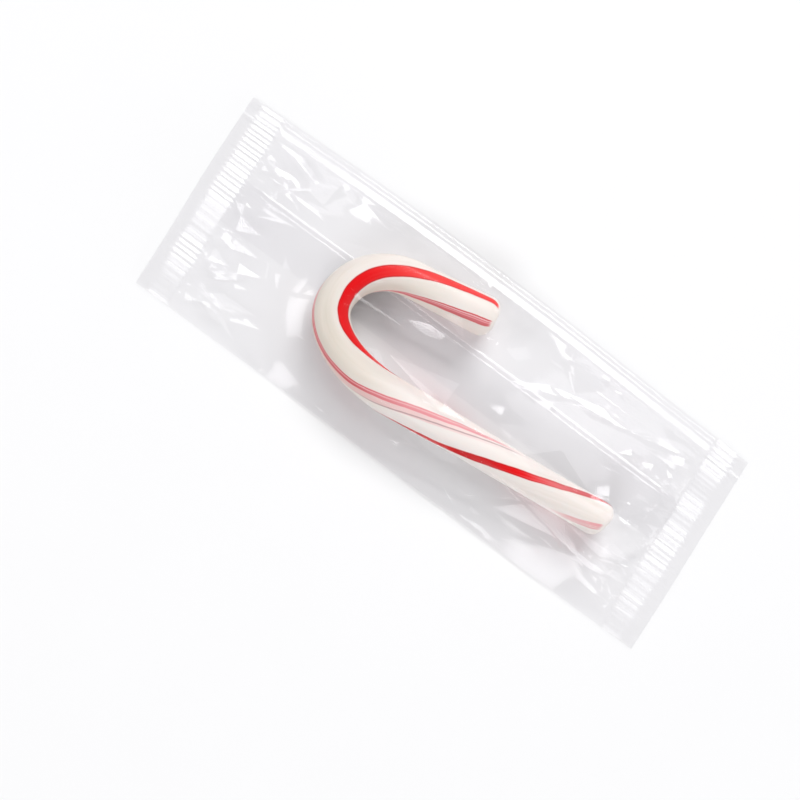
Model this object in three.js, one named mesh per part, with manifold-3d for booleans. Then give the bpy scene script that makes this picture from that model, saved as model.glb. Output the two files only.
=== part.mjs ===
// A small peppermint candy cane lying flat in its sealed clear flow-wrap bag. Millimetres, +Z up.
// The bag runs along X and rests on Z = 0, and the hook of the cane opens towards +X.
import * as THREE from "three";
import { mergeVertices } from "three/addons/utils/BufferGeometryUtils.js";
import Module from "manifold-3d";

// ---- The cane: one pulled sugar rope, bent while warm ----
const LEG_STRAIGHT = 43; // straight part of the leg, from its cut end
const BEND_REACH = 16.35; // how far the hook's crown lies beyond the straight part
const CROWN_RISE = 9.4; // the crown's height over the leg's centreline
const HOOK_SPAN = 18.9; // leg centreline to the start of the return
const RETURN_SET_IN = 9.6; // start of the return, measured back from the crown
const RETURN_LENGTH = 15.8; // straight part of the return, up to its cut end
const RETURN_SPLAY = 4; // degrees by which the return opens away from the leg
const CROWN_ROUND = [8.15, 5.4, 5.6, 5.05]; // how softly the rope turns into and out of the crown
const ROPE_DIAMETERS = [6.3, 6.1, 6.4, 6.9, 6.7, 6.4, 6.6, 7.1]; // at even steps, leg end to tip
const END_ROUND = 2.3; // rounding of both cut ends
const LEG_TURN = 5.9; // degrees between the leg and the bag
const LEG_END = [38, -4.6]; // where the leg's cut end lies in the bag
const ROPE_STEPS = 60;
const ROPE_SIDES = 18;

// ---- The bag: a tube of clear film, crimped shut across both ends ----
const BAG_LENGTH = 105.5;
const BAG_WIDTH = 38.7;
const BAG_SKEW = 0.08; // both ends are cut this far off square, in mm of X per mm of Y
const FILM_WALL = 0.35; // the thinnest wall of the solid that stands for film and air
const CLEARANCE = 0.3; // all round between the cane and the film
const EDGE_THICKNESS = 0.9; // the flattened tube at its long edges and beside the crimps
const CRIMP_LENGTH = 4.8; // ribbed band that seals each end
const RIB_PITCH = 0.95;
const RIB_HEIGHT = 0.35;
const FLAP_LENGTH = 2; // plain film outside each crimp
const FLAP_THICKNESS = 0.5;
const SEAL_OVERLAP = 0.3; // how far a crimp reaches into the body of the bag
const BACK_SEAM = [34, 0.4]; // length and width of the open seam along the bag's underside
const SEAM_POSITION = [10, -7.5];
const DRAPE_CELLS = [56, 22]; // grid of the draped film, along and across the bag
const DRAPE_ROUNDS = 400; // smoothing rounds that let the film hang taut over the cane

const BODY_LENGTH = BAG_LENGTH - 2 * (CRIMP_LENGTH + FLAP_LENGTH);
const MAX_RADIUS = Math.max(...ROPE_DIAMETERS) / 2;
const ROPE_Z = MAX_RADIUS + CLEARANCE + FILM_WALL; // height of the rope's centreline
const CUT_PAST = 0.01; // how far the seam cut reaches past the face that it opens
const MERGE_FLATS = 0.004; // faces flat to within this share their triangles

const wasm = await Module();
wasm.setup();

// A geometry with only its positions, its shared points merged.
function bare(geometry) {
  geometry.deleteAttribute("normal");
  geometry.deleteAttribute("uv");
  return mergeVertices(geometry, 1e-4);
}

function toManifold(geometry) {
  const merged = bare(geometry);
  return new wasm.Manifold(
    new wasm.Mesh({
      numProp: 3,
      vertProperties: merged.attributes.position.array,
      triVerts: new Uint32Array(merged.index.array),
    }),
  );
}

function toGeometry(manifold) {
  const mesh = manifold.getMesh();
  const geometry = new THREE.BufferGeometry();
  geometry.setAttribute("position", new THREE.BufferAttribute(mesh.vertProperties, 3));
  geometry.setIndex(new THREE.BufferAttribute(mesh.triVerts, 1));
  geometry.computeVertexNormals();
  return geometry;
}

// The rope's centreline, from the leg's cut end round the hook to the tip.
function canePath() {
  const at = (x, y) => new THREE.Vector3(x, y, 0);
  const splay = THREE.MathUtils.degToRad(RETURN_SPLAY);
  const [intoCrown, beforeCrown, afterCrown, outOfCrown] = CROWN_ROUND;
  const legStart = at(-LEG_STRAIGHT, 0);
  const crown = at(-LEG_STRAIGHT - BEND_REACH, CROWN_RISE);
  const returnStart = at(crown.x + RETURN_SET_IN, HOOK_SPAN);
  const along = at(Math.cos(splay), Math.sin(splay));
  const path = new THREE.CurvePath();
  path.add(new THREE.LineCurve3(at(0, 0), legStart));
  path.add(
    new THREE.CubicBezierCurve3(
      legStart,
      at(legStart.x - intoCrown, 0),
      at(crown.x, crown.y - beforeCrown),
      crown,
    ),
  );
  path.add(
    new THREE.CubicBezierCurve3(
      crown,
      at(crown.x, crown.y + afterCrown),
      returnStart.clone().addScaledVector(along, -outOfCrown),
      returnStart,
    ),
  );
  path.add(
    new THREE.LineCurve3(
      returnStart,
      returnStart.clone().addScaledVector(along, RETURN_LENGTH),
    ),
  );
  return path;
}

// Turns the cane's own frame, its leg along X, into the bag's.
function inBag() {
  const turn = new THREE.Matrix4().makeRotationZ(THREE.MathUtils.degToRad(LEG_TURN));
  return new THREE.Matrix4().makeTranslation(...LEG_END, 0).multiply(turn);
}

// The rope's radius at a share of its length, smooth through the stated diameters.
function ropeRadius(share) {
  const stations = ROPE_DIAMETERS.map((d, i) => new THREE.Vector2(i, d / 2));
  return new THREE.SplineCurve(stations).getPoint(THREE.MathUtils.clamp(share, 0, 1)).y;
}

// Where the turned stick gets a ring of points along its length: close together round both ends.
function ropeRings(low, high) {
  const corner = [0, 30, 60].map(
    (degrees) => END_ROUND * (1 - Math.cos(THREE.MathUtils.degToRad(degrees))),
  );
  const between = Array.from({ length: ROPE_STEPS + 1 }, (_, i) =>
    THREE.MathUtils.lerp(low + END_ROUND, high - END_ROUND, i / ROPE_STEPS),
  );
  return [
    ...corner.map((depth) => low + depth),
    ...between,
    ...corner.reverse().map((depth) => high - depth),
  ];
}

// A straight stick turned on the lathe, with both ends rounded, and then bent along the path.
// grow makes it thicker and longer all round.
function bentRope(grow) {
  const path = canePath();
  const length = path.getLength();
  const low = -grow;
  const high = length + grow;
  const profile = ropeRings(low, high).map((s) => {
    const depth = Math.min(s - low, high - s, END_ROUND);
    const inset = END_ROUND - Math.sqrt(END_ROUND ** 2 - (END_ROUND - depth) ** 2);
    return new THREE.Vector2(ropeRadius(s / length) + grow - inset, s);
  });
  const closed = [new THREE.Vector2(0, low), ...profile, new THREE.Vector2(0, high)];
  const stick = bare(new THREE.LatheGeometry(closed, ROPE_SIDES));
  const points = stick.attributes.position;
  for (let i = 0; i < points.count; i++) {
    const s = points.getY(i);
    const share = THREE.MathUtils.clamp(s / length, 0, 1);
    const ahead = path.getTangentAt(share);
    const side = new THREE.Vector3(ahead.y, -ahead.x, 0);
    const bent = path.getPointAt(share);
    bent.addScaledVector(ahead, s - share * length).addScaledVector(side, points.getX(i));
    points.setXYZ(i, bent.x, bent.y, ROPE_Z + points.getZ(i));
  }
  return stick.applyMatrix4(inBag());
}

// Shears a piece of the bag so that its ends lie off square.
function skew(geometry) {
  const shear = new THREE.Matrix4().makeShear(0, 0, -BAG_SKEW, 0, 0, 0);
  return geometry.applyMatrix4(shear);
}

// Height over the cane at a point of the bag, or 0 beside it.
function caneTop(stations, x, y) {
  let top = 0;
  for (const { centre, reach } of stations) {
    const across = (x - centre.x) ** 2 + (y - centre.y) ** 2;
    if (across < reach ** 2) top = Math.max(top, ROPE_Z + Math.sqrt(reach ** 2 - across));
  }
  return top;
}

// Points close together along the rope, each with how far the film keeps from its centreline.
function caneStations() {
  const path = canePath();
  const placed = inBag();
  const count = 4 * ROPE_STEPS;
  return Array.from({ length: count + 1 }, (_, i) => ({
    centre: path.getPointAt(i / count).applyMatrix4(placed),
    reach: ropeRadius(i / count) + CLEARANCE + FILM_WALL,
  }));
}

// The body of the bag: flat below, and above a film that hangs taut over the cane. Each round
// moves every point to the mean of its neighbours, but never into the cane, with the rim held.
function drapedBody() {
  const [along, across] = DRAPE_CELLS;
  const stations = caneStations();
  const block = skew(new THREE.BoxGeometry(BODY_LENGTH, BAG_WIDTH, 1, along, across, 1));
  const points = block.attributes.position;
  const spot = (column, row) => [
    (column / along - 0.5) * BODY_LENGTH - BAG_SKEW * (row / across - 0.5) * BAG_WIDTH,
    (row / across - 0.5) * BAG_WIDTH,
  ];
  const columns = Array.from({ length: along + 1 }, (_, column) => column);
  const rows = Array.from({ length: across + 1 }, (_, row) => row);
  const floorUnder = columns.map((c) => rows.map((r) => caneTop(stations, ...spot(c, r))));
  const height = floorUnder.map((line) => line.map((top) => Math.max(top, EDGE_THICKNESS)));
  for (let round = 0; round < DRAPE_ROUNDS; round++) {
    for (let c = 1; c < along; c++) {
      for (let r = 1; r < across; r++) {
        const mean = (height[c - 1][r] + height[c + 1][r] + height[c][r - 1] + height[c][r + 1]) / 4;
        height[c][r] = Math.max(mean, floorUnder[c][r], EDGE_THICKNESS);
      }
    }
  }
  for (let i = 0; i < points.count; i++) {
    const y = points.getY(i);
    const x = points.getX(i) + BAG_SKEW * y;
    const column = Math.round((x / BODY_LENGTH + 0.5) * along);
    const row = Math.round((y / BAG_WIDTH + 0.5) * across);
    const rim = column === 0 || column === along || row === 0 || row === across;
    const top = rim ? EDGE_THICKNESS : height[column][row];
    points.setZ(i, points.getZ(i) > 0 ? top : 0);
  }
  return block;
}

// A crimped end: ribs along the bag pressed into the flattened film.
function crimp(side) {
  const ribs = Math.floor(BAG_WIDTH / RIB_PITCH);
  const edge = (ribs * RIB_PITCH) / 2;
  const outline = new THREE.Shape();
  outline.moveTo(-BAG_WIDTH / 2, 0);
  outline.lineTo(BAG_WIDTH / 2, 0);
  outline.lineTo(BAG_WIDTH / 2, FLAP_THICKNESS);
  for (let i = 0; i <= 2 * ribs; i++) {
    const crest = i % 2 ? FLAP_THICKNESS + RIB_HEIGHT : FLAP_THICKNESS;
    outline.lineTo(edge - (i * RIB_PITCH) / 2, crest);
  }
  outline.lineTo(-BAG_WIDTH / 2, FLAP_THICKNESS);
  const band = new THREE.ExtrudeGeometry(outline, {
    depth: CRIMP_LENGTH + SEAL_OVERLAP,
    bevelEnabled: false,
  });
  band.rotateX(Math.PI / 2).rotateZ(Math.PI / 2);
  const inner = BODY_LENGTH / 2 - SEAL_OVERLAP;
  band.translate(side > 0 ? inner : -inner - CRIMP_LENGTH - SEAL_OVERLAP, 0, 0);
  return skew(band);
}

function flap(side) {
  const plain = new THREE.BoxGeometry(FLAP_LENGTH + SEAL_OVERLAP, BAG_WIDTH, FLAP_THICKNESS);
  const middle = BAG_LENGTH / 2 - (FLAP_LENGTH + SEAL_OVERLAP) / 2;
  plain.translate(side * middle, 0, FLAP_THICKNESS / 2);
  return skew(plain);
}

// The open seam: a slit from under the bag up into the hollow round the cane's leg.
function seamCut() {
  const [length, width] = BACK_SEAM;
  const cut = new THREE.BoxGeometry(length, width, ROPE_Z + CUT_PAST);
  return cut.translate(...SEAM_POSITION, (ROPE_Z - CUT_PAST) / 2);
}

function bag() {
  let solid = toManifold(drapedBody());
  for (const side of [-1, 1]) {
    solid = solid.add(toManifold(crimp(side))).add(toManifold(flap(side)));
  }
  const hollow = toManifold(bentRope(CLEARANCE)).add(toManifold(seamCut()));
  return toGeometry(solid.subtract(hollow).simplify(MERGE_FLATS));
}

const sugar = new THREE.MeshStandardMaterial({
  color: 0xf1ece2,
  roughness: 0.28,
  metalness: 0,
});
const film = new THREE.MeshStandardMaterial({
  color: 0xeeecf2,
  roughness: 0.12,
  metalness: 0,
  transparent: true,
  opacity: 0.3,
});

const cane = new THREE.Mesh(bentRope(0), sugar);
cane.name = "candy_cane";

const wrapper = new THREE.Mesh(bag(), film);
wrapper.name = "wrapper";

const group = new THREE.Group();
group.add(cane, wrapper);

export default group;
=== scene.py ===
"""A small peppermint candy cane sealed in a clear flow-wrap bag, lying on a pale table.

The sugar rope, the film of the bag and its back seam stand in place of the frame's two solids.
Lengths are in metres; the short lists of folds and stations are in millimetres.
"""

import math
import random
from collections import namedtuple

import bmesh
import bpy
import numpy as np
from bpy.props import FloatProperty, FloatVectorProperty, IntProperty, PointerProperty
from mathutils import Matrix, Vector, noise
from mathutils.geometry import interpolate_bezier


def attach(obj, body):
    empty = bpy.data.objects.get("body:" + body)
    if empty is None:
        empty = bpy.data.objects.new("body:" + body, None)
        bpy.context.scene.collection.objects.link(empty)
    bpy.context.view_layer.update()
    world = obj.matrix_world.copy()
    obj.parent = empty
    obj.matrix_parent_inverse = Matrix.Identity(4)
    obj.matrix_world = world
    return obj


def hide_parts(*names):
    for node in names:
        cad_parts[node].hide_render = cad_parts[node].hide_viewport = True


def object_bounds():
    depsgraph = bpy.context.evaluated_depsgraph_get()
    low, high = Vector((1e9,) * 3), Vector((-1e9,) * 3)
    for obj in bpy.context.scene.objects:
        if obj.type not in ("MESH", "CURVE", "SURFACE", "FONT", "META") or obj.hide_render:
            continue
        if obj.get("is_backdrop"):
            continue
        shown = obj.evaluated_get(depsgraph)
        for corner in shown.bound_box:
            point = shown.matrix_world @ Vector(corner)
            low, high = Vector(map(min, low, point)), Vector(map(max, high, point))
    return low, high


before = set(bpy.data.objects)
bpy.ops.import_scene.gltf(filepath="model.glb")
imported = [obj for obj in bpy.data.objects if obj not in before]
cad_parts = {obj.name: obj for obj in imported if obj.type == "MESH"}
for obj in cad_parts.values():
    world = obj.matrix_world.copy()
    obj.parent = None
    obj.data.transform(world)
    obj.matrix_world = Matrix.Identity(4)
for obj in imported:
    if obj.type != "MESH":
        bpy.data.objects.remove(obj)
cad_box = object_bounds()

bl_info = {
    "name": "Wrapped candy cane",
    "version": (1, 0, 0),
    "blender": (4, 5, 0),
    "location": "3D View > Sidebar > Candy Cane",
    "description": "Makes a striped sugar cane in its clear film bag, and a plain studio for it",
    "category": "Add Mesh",
}

MM = 0.001


# ---- Settings: the sizes and colours that a user would change ----


def length(name, description, default):
    return FloatProperty(
        name=name, description=description, default=default, precision=5, subtype="DISTANCE", unit="LENGTH"
    )


def lengths(name, description, default):
    return FloatVectorProperty(
        name=name, description=description, default=default, size=len(default), unit="LENGTH"
    )


def angle(name, description, degrees):
    return FloatProperty(
        name=name, description=description, default=math.radians(degrees), subtype="ANGLE"
    )


def colour(name, description, default):
    return FloatVectorProperty(
        name=name, description=description, default=default, size=3, min=0, max=1, subtype="COLOR"
    )


class CaneSettings(bpy.types.PropertyGroup):
    """One pulled sugar rope, bent while warm."""

    leg: length("Leg", "Straight part of the leg, from its cut end", 43 * MM)
    reach: length("Bend reach", "How far the crown lies beyond the straight leg", 16.35 * MM)
    rise: length("Crown rise", "Height of the crown over the leg's centreline", 9.4 * MM)
    span: length("Hook span", "Leg centreline to the start of the return", 18.9 * MM)
    set_in: length("Return set in", "Start of the return, back from the crown", 9.6 * MM)
    back: length("Return", "Straight part of the return, up to its cut end", 15.8 * MM)
    splay: angle("Splay", "How far the return opens away from the leg", 4)
    rounding: lengths(
        "Crown rounding",
        "Bezier handles of the bend, from the leg to the return",
        (8.15 * MM, 5.4 * MM, 5.6 * MM, 5.05 * MM),
    )
    diameters: lengths(
        "Diameters",
        "Rope diameter at even steps from the leg's end to the tip",
        [d * MM for d in (6.3, 6.1, 6.4, 6.9, 6.7, 6.4, 6.6, 7.1)],
    )
    end_round: length("End rounding", "Rounding of both cut ends", 2.3 * MM)
    turn: angle("Turn", "Angle between the leg and the bag", 5.9)
    leg_end: lengths("Leg end", "Where the leg's cut end lies in the bag", (38 * MM, -4.6 * MM))
    height: length("Height", "Height of the rope's centreline", 4.2 * MM)
    sugar: colour("Sugar", "Pulled white sugar", (0.892, 0.83, 0.794))
    # Also paints shade on the sugar's flanks beside the broad stripe, turned from the light
    sugar_streak_and_shade: colour("Streaks", "Denser streaks in the white sugar", (0.72, 0.66, 0.57))
    red: colour("Red", "Broad stripes", (0.80, 0.005, 0.008))
    # Painted highlight: the lighter red near the tip stands in for gloss and film sheen there
    red_highlight: colour("Light red", "Broad stripe where the rope was pulled thin", (0.88, 0.062, 0.06))
    red_edge: colour("Red edge", "Darker rims of the broad stripes", (0.45, 0.016, 0.018))
    pink: colour("Pink", "Pinstripes", (0.60, 0.085, 0.092))
    # Partly painted: the narrow stripe's paler red near the leg's end also stands in for the film's sheen
    pale_red_and_sheen: colour("Faded red", "Narrow stripe where the rope was pulled thin", (0.76, 0.19, 0.20))
    blush: colour("Blush", "Sugar stained beside the pinstripes", (0.82, 0.35, 0.375))
    thread: colour("Thread", "The thinnest pinstripe", (0.50, 0.33, 0.33))


class BagSettings(bpy.types.PropertyGroup):
    """A tube of clear film, crimped shut across both ends."""

    long: length("Length", "Length of the bag", 105.5 * MM)
    wide: length("Width", "Width of the flattened tube", 38.7 * MM)
    skew: FloatProperty(name="Skew", description="How far off square the ends are cut", default=0.08)
    crimp: length("Crimp", "Ribbed band that seals each end", 4.8 * MM)
    flap: length("Flap", "Plain film outside each crimp", 2.0 * MM)
    rib_pitch: length("Rib pitch", "Distance between the ribs of a crimp", 0.95 * MM)
    rib_height: length("Rib height", "Depth of the ribs", 0.26 * MM)
    pleat: length("Edge pleat", "Width of the tube's edge folded flat", 3.4 * MM)
    taper: length("Taper", "How far the pleated edge draws in at both ends", 1.2 * MM)
    fin: length("Back seam", "Width of the back seam's fin", 8.2 * MM)
    fin_edge: length("Fin edge", "Where the fin's free edge lies across the bag", 5.95 * MM)
    cell: length("Cell", "Size of a cell of the film's mesh", 0.5 * MM)
    seed: IntProperty(name="Seed", description="Seed of the random creases", default=7)
    tint: colour("Tint", "Light that the film lets through", (0.985, 0.983, 0.986))


class StageSettings(bpy.types.PropertyGroup):
    """A pale table under soft light, seen from straight above."""

    floor: colour("Table", "Colour of the table", (0.90, 0.90, 0.905))
    view: length("View", "Width of what the camera sees", 136 * MM)
    distance: length("Distance", "Camera height over the cane", 600 * MM)
    centre: lengths("Centre", "The point that the camera looks down on", (-2.96 * MM, -8.64 * MM))
    turn: angle("Turn", "Angle of the view to the bag", 36.6)
    key: FloatProperty(name="Key", description="Power of the soft key light", default=29.5, unit="POWER")
    fill: FloatProperty(name="Fill", description="Brightness of the room", default=0.3)


# ---- Materials: sockets as numbers ----


def maths(operation, swapped=False):
    """A method that adds a Math node to a value and another term, in either order."""

    def apply(self, other):
        terms = (other, self) if swapped else (self, other)
        return self.math(operation, *terms)

    return apply


class Value:
    """A socket that carries a number. Arithmetic on it adds Math nodes to its material."""

    def __init__(self, finish, socket):
        self.finish = finish
        self.socket = socket

    def math(self, operation, *terms):
        """The result of a Math node on these terms."""
        inputs = dict(enumerate(terms))
        node = self.finish.node("ShaderNodeMath", {"operation": operation}, inputs)
        return Value(self.finish, node.outputs[0])

    __add__ = __radd__ = maths("ADD")
    __sub__ = maths("SUBTRACT")
    __rsub__ = maths("SUBTRACT", swapped=True)
    __mul__ = __rmul__ = maths("MULTIPLY")
    __truediv__ = maths("DIVIDE")
    __rtruediv__ = maths("DIVIDE", swapped=True)
    __pow__ = maths("POWER")
    least = maths("MINIMUM")
    most = maths("MAXIMUM")

    def __abs__(self):
        return self.math("ABSOLUTE", self)

    def held(self):
        """Kept between 0 and 1."""
        return self.most(0).least(1)

    def ramp(self, low, high):
        """0 up to low and 1 from high, smooth between. Low may be the greater one."""
        node = self.finish.node(
            "ShaderNodeMapRange",
            {"interpolation_type": "SMOOTHSTEP"},
            {"Value": self, "From Min": low, "From Max": high},
        )
        return Value(self.finish, node.outputs[0])


class Finish:
    """A node material while it is being built."""

    def __init__(self, name):
        self.material = bpy.data.materials.new(name)
        self.material.use_nodes = True
        self.tree = self.material.node_tree
        self.tree.nodes.clear()
        self.output = self.tree.nodes.new("ShaderNodeOutputMaterial")

    def node(self, kind, settings=None, inputs=None):
        """Adds a node: its settings first, then the values or links of its sockets."""
        made = self.tree.nodes.new(kind)
        for name, value in (settings or {}).items():
            if name == "stops":
                self.fill_ramp(made.color_ramp, value)
            else:
                setattr(made, name, value)
        for name, value in (inputs or {}).items():
            self.feed(made.inputs[name], value)
        return made

    def feed(self, socket, value):
        """Links a socket to a value, or sets it to a plain one."""
        if isinstance(value, Value):
            value = value.socket
        if isinstance(value, bpy.types.NodeSocket):
            self.tree.links.new(value, socket)
        else:
            socket.default_value = value

    def fill_ramp(self, ramp, stops):
        while len(ramp.elements) < len(stops):
            ramp.elements.new(1.0)
        for element, (place, grey) in zip(ramp.elements, stops):
            element.position = place
            element.color = (grey, grey, grey, 1)

    def curve(self, value, stops):
        """A number that follows stops of (value, result), straight between them."""
        node = self.node("ShaderNodeValToRGB", {"stops": stops}, {"Fac": value})
        return Value(self, node.outputs["Color"])

    def noise(self, vector, scale, detail, roughness=0.5):
        inputs = {"Vector": vector, "Scale": scale, "Detail": detail, "Roughness": roughness}
        return Value(self, self.node("ShaderNodeTexNoise", None, inputs).outputs[0])

    def coated(self, ground, *coats):
        """A ground colour under coats of (how much of it shows, its colour), the last one on top."""
        for share, coat in coats:
            inputs = {0: share, 6: opaque(ground), 7: opaque(coat)}
            ground = self.node("ShaderNodeMix", {"data_type": "RGBA"}, inputs).outputs[2]
        return ground

    def scaled(self, vector, factors):
        node = self.node("ShaderNodeVectorMath", {"operation": "MULTIPLY"}, {0: vector, 1: factors})
        return node.outputs[0]

    def bump(self, height, strength, distance):
        inputs = {"Height": height, "Strength": strength, "Distance": distance}
        return self.node("ShaderNodeBump", None, inputs).outputs[0]

    def principled(self, inputs):
        return self.node("ShaderNodeBsdfPrincipled", None, inputs).outputs[0]

    def finished(self, shader):
        self.tree.links.new(shader, self.output.inputs["Surface"])
        return self.material


def sine_cosine(turn):
    """Sine and cosine of an angle in radians, which is a value or a plain number."""
    if isinstance(turn, Value):
        return turn.math("SINE", turn), turn.math("COSINE", turn)
    return math.sin(turn), math.cos(turn)


def opaque(value):
    """A colour property as the four numbers of a socket; a socket stays as it is."""
    return value if isinstance(value, bpy.types.NodeSocket) else (*value, 1)


# ---- The cane: its route, its thickness and its stripes ----

BEND_POINTS = 160  # points on each half of the bend
ROPE_SIDES = 64
RING_STEP = 0.3 * MM
END_RINGS = 6  # rings over the rounding of each end
FACE_RINGS = (0.25, 0.5, 0.75)  # rings on each cut face, as shares of its radius
CUT_SLANT = 0.16  # how far off square the leg's end is cut
CUT_REACH = 5 * MM  # how far along the leg that cut pulls its shape
# The broad stripe's middle, (mm from the leg's end, degrees from the top towards the hook's inside)
STRIPE_STATIONS = (
    (0, 252), (5, 243), (10, 231), (15, 212), (20, 193), (25, 172), (30, 150), (35, 133),
    (40, 113), (45, 90), (50, 70), (55, 54), (57.5, 48.5), (60, 45), (62.5, 40), (65, 30),
    (70, 12.5), (75, -5), (77.5, -17), (80, -31), (82.5, -41), (85, -46.5), (90, -52), (94.3, -54),
)  # fmt: skip
STRIPE_SMOOTHING = np.linspace(-2 * MM, 2 * MM, 9)  # the stations are averaged over this stretch
# Long flutes that follow the twist, finer ones, and soft lumps: height in mm, how often they come
# round the rope, how long they are in mm, and where their noise starts
RELIEF = ((0.075, 1.9, 26, 0), (0.018, 6, 14, 5), (0.035, 1, 6, 9))


class Route:
    """The rope's centreline in the bag, by the distance from the leg's cut end."""

    def __init__(self, cane):
        leg_start = Vector((-cane.leg, 0, 0))
        crown = Vector((leg_start.x - cane.reach, cane.rise, 0))
        back_start = Vector((crown.x + cane.set_in, cane.span, 0))
        along = Vector((math.cos(cane.splay), math.sin(cane.splay), 0))
        into, before, after, out = cane.rounding
        first = interpolate_bezier(
            leg_start, leg_start - Vector((into, 0, 0)), crown - Vector((0, before, 0)), crown, BEND_POINTS
        )
        second = interpolate_bezier(
            crown, crown + Vector((0, after, 0)), back_start - out * along, back_start, BEND_POINTS
        )
        points = [Vector((0, 0, 0)), *first, *second[1:], back_start + cane.back * along]
        placed = Matrix.Translation((*cane.leg_end, 0)) @ Matrix.Rotation(cane.turn, 4, "Z")
        self.points = np.array([placed @ p for p in points])[:, :2]
        steps = np.linalg.norm(np.diff(self.points, axis=0), axis=1)
        self.passed = np.concatenate([[0], np.cumsum(steps)])
        self.length = self.passed[-1]

    def at(self, s):
        """Points at these distances; past an end they stay on it."""
        columns = [np.interp(s, self.passed, self.points[:, axis]) for axis in (0, 1)]
        return np.stack(columns, axis=-1)

    def ahead(self, s):
        """Unit directions of the rope at these distances."""
        near = 0.25 * MM
        inside = np.clip(s, near, self.length - near)
        step = self.at(inside + near) - self.at(inside - near)
        return step / np.linalg.norm(step, axis=-1, keepdims=True)


def rope_radius(cane, share):
    """The rope's radius at shares of its length, smooth through the stated diameters."""
    radii = np.array(cane.diameters) / 2
    radii = np.concatenate([radii[:1], radii, radii[-1:]])
    place = np.clip(share, 0, 1) * (len(radii) - 3)
    i = np.minimum(place.astype(int), len(radii) - 4)
    t = place - i
    a, b, c, d = (radii[i + k] for k in range(4))
    return b + 0.5 * t * (c - a + t * (2 * a - 5 * b + 4 * c - d + t * (3 * (b - c) + d - a)))


def stripe_turn(s):
    """The broad stripe's angle round the rope at these distances, in radians."""
    stations = np.array(STRIPE_STATIONS, float)
    near = np.asarray(s)[..., None] + STRIPE_SMOOTHING
    return np.radians(np.interp(near, stations[:, 0] * MM, stations[:, 1]).mean(axis=-1))


def rope_profile(cane, route):
    """(radius, distance along) of each ring of the straight stick, with both ends rounded."""
    full = route.length
    corner = [cane.end_round * (1 - math.cos(math.pi / 2 * i / END_RINGS)) for i in range(END_RINGS)]
    count = round((full - 2 * cane.end_round) / RING_STEP)
    middle = np.linspace(cane.end_round, full - cane.end_round, count + 1)
    rings = np.concatenate([corner, middle, full - np.array(corner[::-1])])
    depth = np.minimum(np.minimum(rings, full - rings), cane.end_round)
    inset = cane.end_round - np.sqrt(cane.end_round**2 - (cane.end_round - depth) ** 2)
    profile = list(zip(rope_radius(cane, rings / full) - inset, rings))
    low = [(share * profile[0][0], 0.0) for share in (0, *FACE_RINGS)]
    high = [(share * profile[-1][0], full) for share in (*FACE_RINGS[::-1], 0)]
    return low + profile + high


def rope_relief(theta, s):
    """How far the pulled sugar stands out, at an angle from the broad stripe and a distance along."""
    relief = 0
    for height, often, long, start in RELIEF:
        spot = (often * math.sin(theta), often * math.cos(theta), start + s / (long * MM))
        relief += height * noise.noise(spot)
    return relief * MM


def bend_rope(bm, cane, route):
    """Bends the straight stick, which lies along Y, along the route, and notes each point's
    place on the stripes: sine and cosine of its angle to the broad one, and its share of the length."""
    note = bm.verts.layers.float_vector.new("stripe")
    s = np.array([v.co.y for v in bm.verts])
    side = np.array([v.co.x for v in bm.verts])
    up = np.array([v.co.z for v in bm.verts])
    reach = np.hypot(side, up)
    full = rope_radius(cane, s / route.length)
    theta = np.arctan2(side, up) - stripe_turn(s)
    relief = np.array([rope_relief(a, b) for a, b in zip(theta, s)])
    grown = 1 + relief / full
    slant = -CUT_SLANT * side * np.clip(1 - s / CUT_REACH, 0, 1)
    ahead = route.ahead(s)
    across = np.stack([ahead[:, 1], -ahead[:, 0]], axis=1)
    flat = route.at(s) + across * (side * grown)[:, None] + ahead * slant[:, None]
    for i, v in enumerate(bm.verts):
        v.co = (*flat[i], cane.height + up[i] * grown[i])
        ring = reach[i] / full[i]
        v[note] = (ring * math.sin(theta[i]), ring * math.cos(theta[i]), s[i] / route.length)


def rope_mesh(cane, route):
    """The rope: a straight stick, spun from its profile and bent along its route."""
    bm = bmesh.new()
    line = [bm.verts.new((radius, s, 0)) for radius, s in rope_profile(cane, route)]
    edges = [bm.edges.new(pair) for pair in zip(line, line[1:])]
    turn = {"cent": (0, 0, 0), "axis": (0, 1, 0), "angle": 2 * math.pi, "steps": ROPE_SIDES}
    bmesh.ops.spin(bm, geom=line + edges, use_merge=True, **turn)
    bmesh.ops.remove_doubles(bm, verts=bm.verts[:], dist=0.001 * MM)
    bend_rope(bm, cane, route)
    bmesh.ops.recalc_face_normals(bm, faces=bm.faces[:])
    return bm


# Each stripe's place round the rope from the broad one, half its width, and how strongly it shows,
# as (share of the rope's length, degrees or strength)
BROAD_HALF = ((0, 20), (0.53, 12), (0.61, 20), (0.66, 23), (0.75, 21), (0.85, 17), (0.93, 12), (1, 8))
NARROW_TURN = ((0, 210), (0.053, 177), (0.106, 160), (0.16, 155), (0.35, 155), (0.43, 168))
NARROW_HALF = ((0.03, 11), (0.1, 10), (0.19, 12), (0.25, 12), (0.29, 11.5), (0.33, 9))
NARROW_DEEP = ((0.19, 0), (0.24, 0.45), (0.3, 0.5), (0.36, 0))  # how much darker it is
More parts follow.
